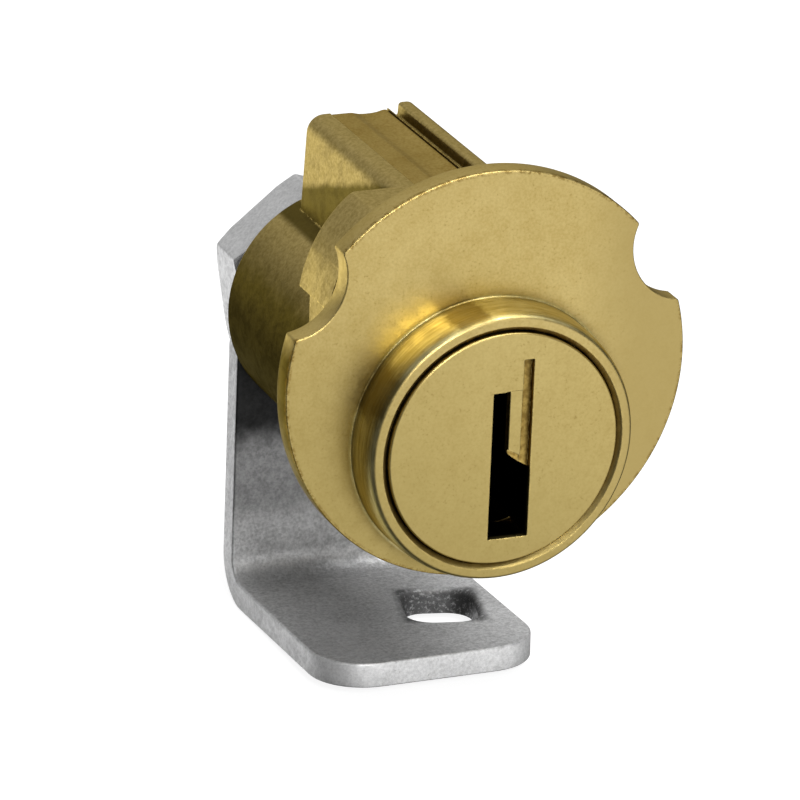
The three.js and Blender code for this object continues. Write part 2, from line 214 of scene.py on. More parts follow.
def add(a, b):
    return join_op(a, b, "UNION")


def cut(a, b):
    return join_op(a, b, "DIFFERENCE")


def common(a, b):
    return join_op(a, b, "INTERSECT")


def arc(cx, cy, r, a0, a1, n):
    return [(cx + r * math.cos(math.radians(a0 + (a1 - a0) * i / n)), cy + r * math.sin(math.radians(a0 + (a1 - a0) * i / n))) for i in range(n + 1)]


def dense(outline, step):
    out = []
    n = len(outline)
    for i in range(n):
        p, q = outline[i], outline[(i + 1) % n]
        k = max(1, int(round(math.hypot(q[0] - p[0], q[1] - p[1]) / step)))
        for j in range(k):
            out.append((p[0] + (q[0] - p[0]) * j / k, p[1] + (q[1] - p[1]) * j / k))
    return out


def eased(outline, step, reach):
    """The outline resampled evenly, with its corners rounded over about reach."""
    pts = dense(outline, step)
    w = max(1, int(round(reach / step)))
    n = len(pts)
    for _ in range(2):
        new = []
        for i in range(n):
            sx = sy = 0.0
            for j in range(-w, w + 1):
                p = pts[(i + j) % n]
                sx += p[0]
                sy += p[1]
            new.append((sx / (2 * w + 1), sy / (2 * w + 1)))
        pts = new
    return pts


def finish_piece(ob, name, body, material, nodes, bevel=0.0, limit=34.0, steps=2, second=None):
    """Turns a piece from millimetres into the frame's metres, rounds the edges that are still sharp and puts it on its body."""
    ob.name = name
    ob.data.name = name
    bm = bmesh.new()
    bm.from_mesh(ob.data)
    bmesh.ops.remove_doubles(bm, verts=bm.verts, dist=2e-3)
    bmesh.ops.dissolve_degenerate(bm, edges=bm.edges, dist=1e-4)
    bmesh.ops.dissolve_limit(bm, angle_limit=math.radians(0.15), verts=bm.verts, edges=bm.edges)
    for v in bm.verts:
        v.co = Vector((v.co.x, v.co.y - FACE_Y, v.co.z)) * 0.001
    for f in bm.faces:
        f.smooth = True
    bm.to_mesh(ob.data)
    bm.free()
    ob.data.set_sharp_from_angle(angle=math.radians(limit))
    kept = [f.material_index for f in ob.data.polygons] if second else []
    ob.data.materials.clear()
    ob.data.materials.append(material)
    if second:
        ob.data.materials.append(second)
        ob.data.polygons.foreach_set("material_index", kept)
    if bevel > 0:
        m = ob.modifiers.new("eased_edges", "BEVEL")
        m.width = bevel * 0.001
        m.segments = steps
        m.limit_method = "ANGLE"
        m.angle_limit = math.radians(limit)
        m.use_clamp_overlap = True
        m.harden_normals = False
        m.miter_outer = "MITER_ARC"
    w = ob.modifiers.new("even_normals", "WEIGHTED_NORMAL")
    w.keep_sharp = True
    w.weight = 60
    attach(ob, body)
    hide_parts(*nodes)
    return ob


# ------------------------------------------------------------------ node tools
def new_mat(name):
    m = bpy.data.materials.new(name)
    m.use_nodes = True
    nt = m.node_tree
    nt.nodes.clear()
    out = nt.nodes.new("ShaderNodeOutputMaterial")
    bsdf = nt.nodes.new("ShaderNodeBsdfPrincipled")
    nt.links.new(bsdf.outputs[0], out.inputs[0])
    return m, nt, bsdf


class Net:
    """Short names for the nodes that the metals are made from. Lengths are in millimetres."""

    def __init__(self, nt):
        self.nt = nt
        tc = nt.nodes.new("ShaderNodeTexCoord")
        mp = nt.nodes.new("ShaderNodeMapping")
        mp.inputs["Scale"].default_value = (1000, 1000, 1000)
        nt.links.new(tc.outputs["Object"], mp.inputs["Vector"])
        self.mm = mp.outputs[0]

    def put(self, socket, value):
        if hasattr(value, "is_output"):
            self.nt.links.new(value, socket)
        else:
            socket.default_value = value

    def stretch(self, scale, source=None):
        n = self.nt.nodes.new("ShaderNodeMapping")
        n.inputs["Scale"].default_value = scale
        self.nt.links.new(source or self.mm, n.inputs["Vector"])
        return n.outputs[0]

    def noise(self, per_mm, detail=3.0, rough=0.55, source=None, distortion=0.0):
        n = self.nt.nodes.new("ShaderNodeTexNoise")
        n.inputs["Scale"].default_value = per_mm
        n.inputs["Detail"].default_value = detail
        n.inputs["Roughness"].default_value = rough
        n.inputs["Distortion"].default_value = distortion
        self.nt.links.new(source or self.mm, n.inputs["Vector"])
        return n.outputs["Fac"]

    def cells(self, per_mm, source=None, feature="F1"):
        n = self.nt.nodes.new("ShaderNodeTexVoronoi")
        n.feature = feature
        n.inputs["Scale"].default_value = per_mm
        self.nt.links.new(source or self.mm, n.inputs["Vector"])
        return n.outputs["Distance"]

    def cell_shade(self, per_mm, source=None):
        n = self.nt.nodes.new("ShaderNodeTexVoronoi")
        n.inputs["Scale"].default_value = per_mm
        self.nt.links.new(source or self.mm, n.inputs["Vector"])
        s = self.nt.nodes.new("ShaderNodeSeparateColor")
        self.nt.links.new(n.outputs["Color"], s.inputs[0])
        return s.outputs[0]

    def span(self, value, a, b, lo=0.0, hi=1.0, smooth=True):
        n = self.nt.nodes.new("ShaderNodeMapRange")
        n.interpolation_type = "SMOOTHSTEP" if smooth else "LINEAR"
        self.put(n.inputs["Value"], value)
        n.inputs["From Min"].default_value = a
        n.inputs["From Max"].default_value = b
        n.inputs["To Min"].default_value = lo
        n.inputs["To Max"].default_value = hi
        return n.outputs[0]

    def math(self, op, a, b=0.0, clamp=False):
        n = self.nt.nodes.new("ShaderNodeMath")
        n.operation = op
        n.use_clamp = clamp
        self.put(n.inputs[0], a)
        self.put(n.inputs[1], b)
        return n.outputs[0]

    def mix(self, f, a, b, mode="MIX"):
        n = self.nt.nodes.new("ShaderNodeMix")
        n.data_type = "RGBA"
        n.blend_type = mode
        self.put(n.inputs[0], f)
        self.put(n.inputs[6], a)
        self.put(n.inputs[7], b)
        return n.outputs[2]

    def split(self, source=None):
        n = self.nt.nodes.new("ShaderNodeSeparateXYZ")
        self.nt.links.new(source or self.mm, n.inputs[0])
        return n.outputs

    def near(self, radius_mm, samples=4):
        n = self.nt.nodes.new("ShaderNodeAmbientOcclusion")
        n.samples = samples
        n.inputs["Distance"].default_value = radius_mm * 0.001
        return n.outputs["AO"]

    def edge(self, radius_mm, samples=4):
        """1 along edges, 0 on open faces."""
        b = self.nt.nodes.new("ShaderNodeBevel")
        b.samples = samples
        b.inputs["Radius"].default_value = radius_mm * 0.001
        g = self.nt.nodes.new("ShaderNodeNewGeometry")
        d = self.nt.nodes.new("ShaderNodeVectorMath")
        d.operation = "DOT_PRODUCT"
        self.nt.links.new(b.outputs[0], d.inputs[0])
        self.nt.links.new(g.outputs["Normal"], d.inputs[1])
        return self.span(d.outputs["Value"], 0.995, 0.93)

    def round_normal(self, radius_mm, samples=4):
        b = self.nt.nodes.new("ShaderNodeBevel")
        b.samples = samples
        b.inputs["Radius"].default_value = radius_mm * 0.001
        return b.outputs[0]

    def bump(self, height, distance_mm, strength=1.0, normal=None):
        n = self.nt.nodes.new("ShaderNodeBump")
        n.inputs["Strength"].default_value = strength
        n.inputs["Distance"].default_value = distance_mm * 0.001
        self.nt.links.new(height, n.inputs["Height"])
        if normal is not None:
            self.nt.links.new(normal, n.inputs["Normal"])
        return n.outputs[0]


def rgb(r, g, b):
    def lin(c):
        c /= 255.0
        return c / 12.92 if c <= 0.04045 else ((c + 0.055) / 1.055) ** 2.4
    return (lin(r), lin(g), lin(b), 1.0)


# ------------------------------------------------------------------ materials
def brass(name, light, dark, rough=(0.34, 0.46), grain=0.0016, worn=0.55, soil_and_shade=0.75, zones=None, turned=0.0, underside_roughness=0.0):
    """Brass-plated metal: two tones in soft patches, fine speckle, bright worn edges, and brown soil with painted shade
    in the corners.
    """
    m, nt, p = new_mat(name)
    n = Net(nt)
    patches = n.span(n.noise(0.22, 4.0, 0.6), 0.35, 0.68)
    cloud = n.span(n.noise(1.3, 5.0, 0.6, distortion=0.6), 0.36, 0.70)
    fine = n.noise(9.0, 3.0, 0.7)
    tiny = n.noise(24.0, 2.0, 0.7)
    grit = n.noise(6.5, 2.0, 0.6)
    tone = n.math("ADD", n.math("MULTIPLY", patches, 0.38), n.math("MULTIPLY", cloud, 0.25))
    tone = n.math("ADD", tone, n.math("MULTIPLY", n.span(grit, 0.30, 0.70), 0.55), clamp=True)
    colour = n.mix(tone, light, dark)
    # small dark pores and brown specks
    specks = n.span(n.math("ADD", n.math("MULTIPLY", tiny, 0.55), n.math("MULTIPLY", n.noise(5.0, 4.0, 0.75), 0.45)), 0.615, 0.70)
    colour = n.mix(n.math("MULTIPLY", specks, 0.45), colour, rgb(120, 92, 40))
    pits = n.math("MULTIPLY", n.span(grit, 0.60, 0.72), n.span(n.noise(1.1, 3.0, 0.6), 0.42, 0.62))
    colour = n.mix(n.math("MULTIPLY", pits, 0.4), colour, rgb(138, 112, 58))
    if zones is not None:
        colour = zones(n, colour)
    # brown soil with painted shade: darker in corners and gaps, near other surfaces
    deep = n.span(n.near(0.9, 6), 0.25, 0.92, 1.0, 0.0)
    deep = n.math("MULTIPLY", deep, n.span(n.noise(2.2, 4.0, 0.65), 0.25, 0.6, 0.55, 1.0))
    colour = n.mix(n.math("MULTIPLY", deep, soil_and_shade), colour, rgb(58, 42, 14))
    # plating rubbed bright along edges, in broken stretches
    rub = n.math("MULTIPLY", n.edge(0.16, 6), n.span(n.noise(3.2, 5.0, 0.75), 0.44, 0.58))
    colour = n.mix(n.math("MULTIPLY", rub, worn), colour, rgb(250, 222, 140))
    n.put(p.inputs["Base Color"], colour)
    p.inputs["Metallic"].default_value = 1.0
    p.inputs["Specular Tint"].default_value = rgb(232, 221, 184)
    r = n.span(n.math("ADD", n.math("MULTIPLY", fine, 0.6), n.math("MULTIPLY", cloud, 0.4)), 0.2, 0.8, rough[0], rough[1])
    r = n.math("SUBTRACT", r, n.math("MULTIPLY", rub, 0.14))
    if underside_roughness > 0:
        # the barrel's underside, painted dark as shade, is also rougher
        x, y, z = n.split()[0:3]
        low = n.math("MULTIPLY", n.span(z, 3.0, 0.0), n.span(y, 5.2, 6.4))
        r = n.math("ADD", r, n.math("MULTIPLY", low, underside_roughness))
    n.put(p.inputs["Roughness"], r)
    h = n.math("ADD", n.math("MULTIPLY", fine, 0.5), n.math("MULTIPLY", tiny, 0.5))
    h = n.math("ADD", h, n.math("MULTIPLY", n.noise(1.6, 2.0, 0.5), 1.2))
    if turned > 0:
        x, y, z = n.split()[0:3]
        radial = n.math("SQRT", n.math("ADD", n.math("MULTIPLY", x, x), n.math("MULTIPLY", z, z)))
        c = nt.nodes.new("ShaderNodeCombineXYZ")
        n.put(c.inputs[0], n.math("MULTIPLY", radial, 9.0))
        n.put(c.inputs[1], n.math("MULTIPLY", y, 9.0))
        rings = nt.nodes.new("ShaderNodeTexNoise")
        rings.inputs["Scale"].default_value = 1.0
        rings.inputs["Detail"].default_value = 4.0
        nt.links.new(c.outputs[0], rings.inputs["Vector"])
        h = n.math("ADD", h, n.math("MULTIPLY", rings.outputs["Fac"], turned))
    n.put(p.inputs["Normal"], n.bump(h, grain, 1.0, n.round_normal(0.09, 4)))
    return m


def painted_lower_left_shade(n, colour, x, z, amount):
    """Painted shade: the plating is painted gently darker towards the lower left of the face."""
    t = n.math("ADD", n.math("MULTIPLY", z, 0.9), n.math("MULTIPLY", x, 0.45))
    t = n.math("ADD", t, n.math("MULTIPLY", n.noise(0.18, 3.0, 0.6), 5.0))
    t = n.span(t, 12.0, -7.0)
    return n.mix(n.math("MULTIPLY", t, amount), colour, rgb(160, 142, 84))


def plug_zones(n, colour):
    """The keyway is painted black inside, as painted shade; its shallow steps near the face are not."""
    x, y, z = n.split()[0:3]
    # painted shade towards the lower left of the face
    colour = painted_lower_left_shade(n, colour, x, z, 0.62)
    # tan and brown stain on the shallow groove's floor and on the slope below it
    way = n.math("MULTIPLY", n.span(x, 0.20, 0.26), n.span(x, 1.60, 1.54))
    way = n.math("MULTIPLY", way, n.span(z, -1.30, -1.24))
    floor = n.math("MULTIPLY", way, n.span(y, -3.86, -3.76))
    brown_tone = n.mix(n.span(n.noise(2.6, 4.0, 0.7), 0.36, 0.62), rgb(200, 168, 88), rgb(136, 104, 38))
    colour = n.mix(n.math("MULTIPLY", floor, 0.75), colour, brown_tone)
    # the groove's two side walls are painted dark brown, as painted shade
    rim = n.math("MULTIPLY", n.math("ABSOLUTE", n.math("SUBTRACT", x, 1.225)), 1.0)
    rim = n.math("MULTIPLY", n.span(rim, 0.19, 0.26), n.span(rim, 0.37, 0.31))
    rim = n.math("MULTIPLY", rim, n.span(y, -3.80, -3.66))
    colour = n.mix(n.math("MULTIPLY", rim, 0.75), colour, rgb(70, 48, 12))
    # painted shade: the keyway's inside, and the plug behind its head, are painted nearly black
    deep = n.span(y, -3.90, -3.45)
    deep = n.math("MULTIPLY", deep, n.math("SUBTRACT", 1.0, n.math("MULTIPLY", way, n.span(y, -3.36, -3.44))))
    r = n.math("SQRT", n.math("ADD", n.math("MULTIPLY", x, x), n.math("MULTIPLY", z, z)))
    inner = n.math("MULTIPLY", deep, n.span(r, 5.4, 5.3))
    keyway_shade = n.math("ADD", inner, n.math("MULTIPLY", n.span(y, -2.2, -1.9), n.span(r, 5.9, 5.5)), clamp=True)
    keyway_shade = n.math("MULTIPLY", keyway_shade, n.span(y, 19.3, 19.0))       # not the tail
    return n.mix(keyway_shade, colour, (0.0015, 0.0009, 0.0003, 1.0))


def housing_zones(n, colour):
    """The back of the body, behind the flange, is painted duller and darker than the face, as painted shade."""
    x, y, z = n.split()[0:3]
    # painted shade towards the lower left of the face
    colour = painted_lower_left_shade(n, colour, x, z, 0.66)
    # painted shade: the back, behind the flange, is painted a darker, drabber tone
    back = n.span(n.math("ADD", y, n.math("MULTIPLY", n.noise(0.9, 3.0, 0.6), 1.2)), 0.2, 1.6)
    back_shade = n.mix(n.span(n.noise(4.5, 4.0, 0.7), 0.33, 0.68), rgb(186, 166, 110), rgb(156, 137, 84))
    colour = n.mix(n.math("MULTIPLY", back, 0.94), colour, back_shade)
    # the lobe's flank turns dark olive below a slanting line
    slant = n.math("ADD", z, n.math("MULTIPLY", y, 0.35))
    slant = n.math("ADD", slant, n.math("MULTIPLY", n.noise(1.4, 3.0, 0.6), 0.5))
    under = n.math("MULTIPLY", n.span(slant, 13.95, 13.45), n.span(x, -2.35, -2.6))
    under = n.math("MULTIPLY", n.math("MULTIPLY", under, n.span(x, -3.9, -3.5)), n.span(y, 6.0, 6.6))
    colour = n.mix(n.math("MULTIPLY", under, 0.92), colour, rgb(76, 65, 32))
    # the barrel, below the pin lobe, is painted olive brown and nearly black lower down, as painted shade behind the
    # flange
    low = n.math("MULTIPLY", back, n.span(n.math("ADD", z, n.math("MULTIPLY", n.noise(1.1, 4.0, 0.65), 1.6)), 6.0, 2.9))
    low = n.math("MULTIPLY", low, n.span(y, 5.2, 6.4))
    brown_tone = n.mix(n.span(n.noise(4.0, 4.0, 0.7), 0.34, 0.66), rgb(68, 58, 28), rgb(54, 45, 18))
    brown_tone = n.mix(n.math("MULTIPLY", n.span(z, 1.6, -2.4), 0.85), brown_tone, rgb(20, 16, 6))
    colour = n.mix(n.math("MULTIPLY", low, 0.95), colour, brown_tone)
    # the face is painted darker towards its right side
    dull = n.math("MULTIPLY", n.span(n.math("ADD", x, n.math("MULTIPLY", n.noise(0.3, 2.0, 0.5), 2.0)), 5.0, 9.6), n.math("SUBTRACT", 1.0, back))
    colour = n.mix(n.math("MULTIPLY", dull, 0.85), colour, rgb(182, 161, 101))
    # the collar's side is turned and yellower, in fine rings
    r = n.math("SQRT", n.math("ADD", n.math("MULTIPLY", x, x), n.math("MULTIPLY", z, z)))
    side = n.math("MULTIPLY", n.span(r, 7.10, 7.22), n.span(r, 7.62, 7.5))
    side = n.math("MULTIPLY", side, n.span(y, -1.32, -1.42))
    rings = n.noise(1.0, 4.0, 0.65, source=n.stretch((0.5, 7.0, 0.5)))
    turned = n.mix(n.span(rings, 0.34, 0.66), rgb(222, 212, 156), rgb(186, 173, 112))
    colour = n.mix(n.math("MULTIPLY", side, 0.85), colour, turned)
    # two dark bands painted on the collar's side, up and to the left, as painted dark reflections either side of its
    # highlight
    turn = n.math("ARCTAN2", z, x)
    wave = n.math("ADD", turn, n.math("MULTIPLY", n.math("SUBTRACT", n.noise(1.2, 4.0, 0.7), 0.5), 0.22))
    one = n.span(n.math("ABSOLUTE", n.math("SUBTRACT", wave, 1.83)), 0.17, 0.08)
    two = n.span(n.math("ABSOLUTE", n.math("SUBTRACT", wave, 2.66)), 0.27, 0.12)
    painted_dark_reflection = n.math("MULTIPLY", n.math("ADD", one, two, clamp=True), side)
    colour = n.mix(n.math("MULTIPLY", painted_dark_reflection, 0.72), colour, rgb(104, 84, 30))
    # the flange's rim is painted dark brown along its left as painted shade, faintly all round, and rubbed ragged along
    # its front corner
    zf = n.math("SUBTRACT", z, 3.13)
    rf = n.math("SQRT", n.math("ADD", n.math("MULTIPLY", x, x), n.math("MULTIPLY", zf, zf)))
    rim = n.math("MULTIPLY", n.span(rf, 11.00, 11.06), n.span(y, -1.37, -1.30))
    left = n.math("MULTIPLY", n.span(x, -5.5, -8.5), n.span(z, 6.4, 4.8))
    colour = n.mix(n.math("MULTIPLY", rim, n.math("ADD", n.math("MULTIPLY", left, 0.84), 0.12)), colour, rgb(62, 49, 19))
    corner = n.math("MULTIPLY", n.span(rf, 10.86, 11.02), n.span(y, -1.05, -1.25))
    corner = n.math("MULTIPLY", corner, n.span(n.noise(2.8, 5.0, 0.8), 0.46, 0.56))
    colour = n.mix(n.math("MULTIPLY", corner, 0.72), colour, rgb(122, 94, 36))
    # the inside of the plug's bore is painted nearly black, as painted shade
    bore = n.math("MULTIPLY", n.span(r, 5.75, 5.6), n.span(y, -2.2, -1.9))
    return n.mix(bore, colour, (0.002, 0.0013, 0.0005, 1.0))


def steel(name, light, dark, rough=(0.42, 0.6), grain=0.004, worn=0.5, spangle=1.0, dull=0.82, zones=None):
    """Zinc-plated sheet: mottled grey, small pale flecks, paler sheared edges and painted shade in the corners."""
    m, nt, p = new_mat(name)
    n = Net(nt)
    cloud = n.span(n.noise(0.45, 5.0, 0.62, distortion=0.4), 0.33, 0.68)
    mottle = n.span(n.noise(2.8, 5.0, 0.7), 0.34, 0.68)
    fine = n.noise(10.0, 4.0, 0.75)
    grit = n.noise(5.5, 3.0, 0.7)
    tone = n.math("ADD", n.math("MULTIPLY", cloud, 0.2), n.math("MULTIPLY", mottle, 0.3))
    tone = n.math("ADD", tone, n.math("MULTIPLY", n.span(grit, 0.32, 0.68), 0.6), clamp=True)
    colour = n.mix(tone, light, dark)
    flecks = n.span(n.cells(3.4), 0.16, 0.05)
    flecks = n.math("MULTIPLY", flecks, n.span(n.noise(0.6, 2.0, 0.5), 0.5, 0.62))
    colour = n.mix(n.math("MULTIPLY", flecks, 0.4 * spangle), colour, rgb(228, 228, 228))
    pits = n.span(n.noise(6.0, 5.0, 0.8), 0.60, 0.70)
    colour = n.mix(n.math("MULTIPLY", pits, 0.5), colour, rgb(84, 84, 84))
    # painted shade: darker within 5 mm of other surfaces
    deep = n.span(n.near(5.0, 6), 0.15, 0.8, 1.0, 0.0)
    colour = n.mix(n.math("MULTIPLY", deep, 0.7), colour, rgb(30, 30, 30))
    rub = n.math("MULTIPLY", n.edge(0.2, 6), n.span(n.noise(2.6, 5.0, 0.75), 0.40, 0.56))
    colour = n.mix(n.math("MULTIPLY", rub, worn), colour, rgb(232, 232, 232))
    if zones is not None:
        colour = zones(n, colour)
    n.put(p.inputs["Base Color"], colour)
    p.inputs["Metallic"].default_value = dull
    n.put(p.inputs["Roughness"], n.span(n.math("ADD", n.math("MULTIPLY", fine, 0.5), n.math("MULTIPLY", mottle, 0.5)), 0.2, 0.8, rough[0], rough[1]))
    h = n.math("ADD", n.math("MULTIPLY", fine, 0.7), n.math("MULTIPLY", n.noise(3.0, 4.0, 0.65), 1.3))
    n.put(p.inputs["Normal"], n.bump(h, grain, 1.0, n.round_normal(0.1, 4)))
    return m


def turned_metal(name, light, dark, rough=(0.2, 0.32)):
    """Small turned parts: pins and wire."""
    m, nt, p = new_mat(name)
    n = Net(nt)
    bands = n.noise(1.0, 4.0, 0.6, source=n.stretch((1.2, 1.2, 16.0)))
    colour = n.mix(n.span(bands, 0.35, 0.65), light, dark)
    n.put(p.inputs["Base Color"], colour)
    p.inputs["Metallic"].default_value = 1.0
    n.put(p.inputs["Roughness"], n.span(n.noise(6.0, 3.0, 0.6), 0.3, 0.7, rough[0], rough[1]))
    n.put(p.inputs["Normal"], n.bump(bands, 0.003))
    return m


BRASS_BODY = brass("brass_plated", rgb(210, 188, 124), rgb(192, 169, 104), zones=housing_zones, underside_roughness=0.34)
BRASS_PLUG = brass("brass_plug", rgb(206, 185, 120), rgb(192, 170, 106), rough=(0.33, 0.42), grain=0.0012, soil_and_shade=0.8, zones=plug_zones)
BRASS_COVER = brass("brass_cover", rgb(184, 161, 100), rgb(150, 124, 66), rough=(0.3, 0.44), worn=0.3)
def cam_zones(n, colour):
    """The upright is painted greyer than the forward leg as painted shade, and nearly black with the painted shadow of
    the barrel and the flange.
    """
    x, y, z = n.split()[0:3]
    # painted shade: the upright greyer than the forward leg
    up = n.span(z, -13.6, -11.2)
    colour = n.mix(n.math("MULTIPLY", up, 0.6), colour, rgb(118, 118, 118))
    # painted shadow of the barrel and the flange, nearly black, on the upright
    painted_shadow = n.span(n.math("ADD", z, n.math("MULTIPLY", n.noise(0.9, 3.0, 0.6), 1.2)), -8.4, -6.2)
    painted_shadow = n.math("MULTIPLY", painted_shadow, n.span(y, 20.7, 20.4))
    colour = n.mix(n.math("MULTIPLY", painted_shadow, 0.93), colour, rgb(22, 22, 22))
    # dark, gritty burr round the link hole, with painted shade on and round the hole's walls
    dx, dy = n.math("SUBTRACT", x, 3.65), n.math("SUBTRACT", y, 11.80)
    u = n.math("ABSOLUTE", n.math("SUBTRACT", n.math("MULTIPLY", dx, 0.966), n.math("MULTIPLY", dy, 0.259)))
    v = n.math("ABSOLUTE", n.math("ADD", n.math("MULTIPLY", dx, 0.259), n.math("MULTIPLY", dy, 0.966)))
    wander = n.math("MULTIPLY", n.noise(1.6, 4.0, 0.7), 0.5)
    hole = n.math("MULTIPLY", n.span(n.math("ADD", u, wander), 2.85, 2.2), n.span(n.math("ADD", v, wander), 3.15, 2.5))
    hole = n.math("MULTIPLY", hole, n.span(z, -14.6, -15.2))
    burr_and_shade = n.mix(n.span(n.noise(4.5, 3.0, 0.75), 0.50, 0.68), rgb(84, 84, 84), rgb(190, 190, 190))
    return n.mix(n.math("MULTIPLY", hole, 0.85), colour, burr_and_shade)


ZINC = steel("galvanised_steel", rgb(240, 240, 240), rgb(186, 186, 186), rough=(0.5, 0.66), zones=cam_zones)
ZINC_RIM = steel("galvanised_rim", rgb(240, 240, 240), rgb(204, 204, 204), rough=(0.5, 0.64), spangle=0.5, dull=0.55)
ZINC_NUT = steel("galvanised_nut", rgb(226, 226, 226), rgb(196, 196, 196), rough=(0.42, 0.55), grain=0.003)
WIRE = turned_metal("spring_steel", rgb(190, 192, 196), rgb(150, 152, 158))
PIN = turned_metal("pin_brass", rgb(222, 190, 112), rgb(190, 152, 78))


# ------------------------------------------------------------------ housing
def make_housing():
    lip = [(7.02, 0.0), (7.09, 0.015), (7.16, 0.06), (7.22, 0.14), (7.28, 0.28), (7.33, 0.48), (7.38, 0.82), (7.41, 1.25), (COLLAR_R, 1.8)]
    foot = [(COLLAR_R, FLANGE_FRONT - 0.05), (COLLAR_R + 0.02, FLANGE_FRONT - 0.015), (COLLAR_R + 0.05, FLANGE_FRONT + 0.01)]
    ob = lathe("housing_body", [(MOUTH_R - 1.2, 0.0)] + lip + foot + [(COLLAR_R + 0.05, FLANGE_FRONT + 0.4)], 240)

    disc = arc(0, FLANGE_Z, FLANGE_R, 0, 360, 360)[:-1]
    outline = []
    for s in (1, -1):
        # walk the rim and dip into the notch where it is met
        pass
    rim = []
    for i in range(0, 3600):
        a = math.radians(i / 10.0)
        p = (FLANGE_R * math.cos(a), FLANGE_Z + FLANGE_R * math.sin(a))
        inside = None
        for s in (1, -1):
            if math.hypot(p[0] - s * NOTCH_X, p[1] - NOTCH_Z) < NOTCH_R:
                inside = s
        rim.append((p, inside))
    k = 0
    while k < 3600:
        p, inside = rim[k]
        if inside is None:
            if k % 10 == 0:
                outline.append(p)
            k += 1
            continue
        s = inside
        start = rim[k - 1][0]
        while rim[k][1] is not None:
            k += 1
        end = rim[k][0]
        a0 = math.atan2(start[1] - NOTCH_Z, start[0] - s * NOTCH_X)
        a1 = math.atan2(end[1] - NOTCH_Z, end[0] - s * NOTCH_X)
        # round the notch on the side that faces the flange's middle
        if s > 0:
            if a0 > 0:
                a0 -= 2 * math.pi
            if a1 > 0:
                a1 -= 2 * math.pi
            if a1 > a0:
                a1 -= 2 * math.pi
        else:
            while a1 > a0:
                a1 -= 2 * math.pi
        outline += [(s * NOTCH_X + NOTCH_R * math.cos(a0 + (a1 - a0) * i / 48), NOTCH_Z + NOTCH_R * math.sin(a0 + (a1 - a0) * i / 48)) for i in range(49)]
    outline = eased(outline, 0.07, 0.07)
    flange = prism("flange", outline, FLANGE_FRONT, FLANGE_REAR, 0.08, 0.14, steps=4)
    ob = add(ob, flange)

    top_x = math.sqrt(SHOULDER_R ** 2 - (LOBE_TOP - 0.35 - SHOULDER_Z) ** 2)
    a0 = math.degrees(math.atan2(LOBE_TOP - 0.35 - SHOULDER_Z, top_x))
    shape = arc(0, SHOULDER_Z, SHOULDER_R, 180 - a0, 360 + a0, 120) + [(top_x - 0.45, LOBE_TOP), (-top_x + 0.45, LOBE_TOP)]
    shoulder = prism("shoulder", eased(shape, 0.12, 0.12), FLANGE_REAR - 0.4, SHOULDER_REAR, 0.0, 0.22)
    for s in (-1, 1):
        xs = sorted((s * SHOULDER_FLAT_X, s * 12))
        shoulder = cut(shoulder, box("c", xs[0], xs[1], FLANGE_REAR, SHOULDER_REAR + 1, -4, SHOULDER_LEDGE_Z))
        gs = sorted((s * 7.0, s * 12))
        shoulder = cut(shoulder, box("c", gs[0], gs[1], 4.6, 5.8, 5.6, 9.6))
    ob = add(ob, shoulder)

    barrel = lathe("barrel", [(BARREL_R, FLANGE_REAR - 0.4)] + arc(BARREL_R - 0.22, BARREL_REAR - 0.22, 0.22, 0, 90, 5), 220)
    ob = add(ob, barrel)

    lobe = [(-2.95, 3.5), (3.75, 3.5), (3.52, RIB_TOP - 0.32), (3.4, RIB_TOP - 0.09), (3.2, RIB_TOP), (2.74, RIB_TOP), (2.62, RIB_TOP - 0.1),
            (2.59, 10.72), (2.12, 10.72), (2.08, LOBE_TOP)] + arc(-2.65 + 0.95, LOBE_TOP - 0.95, 0.95, 90, 178, 20)
    ob = add(ob, prism("lobe", eased(lobe, 0.06, 0.05), SHOULDER_REAR - 6, LOBE_REAR, 0.0, 0.16))

    ob = cut(ob, lathe("mouth", [(MOUTH_R + 0.3, -1.0), (MOUTH_R + 0.06, -0.001), (MOUTH_R, 0.06), (HEAD_BORE_R + 0.02, 0.22), (HEAD_BORE_R, 0.3),
                                 (HEAD_BORE_R, HEAD_BORE_REAR), (BODY_BORE_R, HEAD_BORE_REAR), (BODY_BORE_R, BARREL_REAR + 1)], 240))
    sector = [(5.98 * math.sin(math.radians(a)), 5.98 * math.cos(math.radians(a))) for a in range(-7, 98, 3)] + \
             [(4.75 * math.sin(math.radians(a)), 4.75 * math.cos(math.radians(a))) for a in range(97, -8, -3)]
    ob = cut(ob, prism("stop", sector, HEAD_BORE_REAR - 0.3, HEAD_BORE_REAR + 1.03))
    ob = cut(ob, box("strip", -1.33, 2.01, 4.67, LOBE_REAR + 1, COVER_FLOOR, LOBE_TOP + 0.5))
    for y in PIN_Y:
        pin = [(PIN_X + 1.28 * math.cos(2 * math.pi * i / 32), y + 1.28 * math.sin(2 * math.pi * i / 32)) for i in range(32)]
        ob = cut(ob, prism("bore", pin, 3.6, COVER_FLOOR + 0.2, along="Z"))
    return ob


finish_piece(make_housing(), "lock_body", "body", BRASS_BODY, ["housing"])


# ------------------------------------------------------------------ spring cover
def make_cover():
    top = COVER_FLOOR + 0.02 + 0.56
    floor = COVER_FLOOR + 0.02
    shape = [(-1.3, floor), (1.98, floor), (1.98, top - 0.05), (1.93, top), (1.72, top), (1.6, top - 0.03), (1.4, top - 0.085), (1.1, top - 0.12),
             (0.7, top - 0.13), (0.35, top - 0.11), (0.1, top - 0.055), (-0.05, top - 0.01), (-0.2, top), (-1.24, top), (-1.3, top - 0.06)]
    return prism("cover", eased(shape, 0.05, 0.05), 4.7, 21.9, 0.05, 0.05)


finish_piece(make_cover(), "chamber_cover", "body", BRASS_COVER, ["spring_cover"])


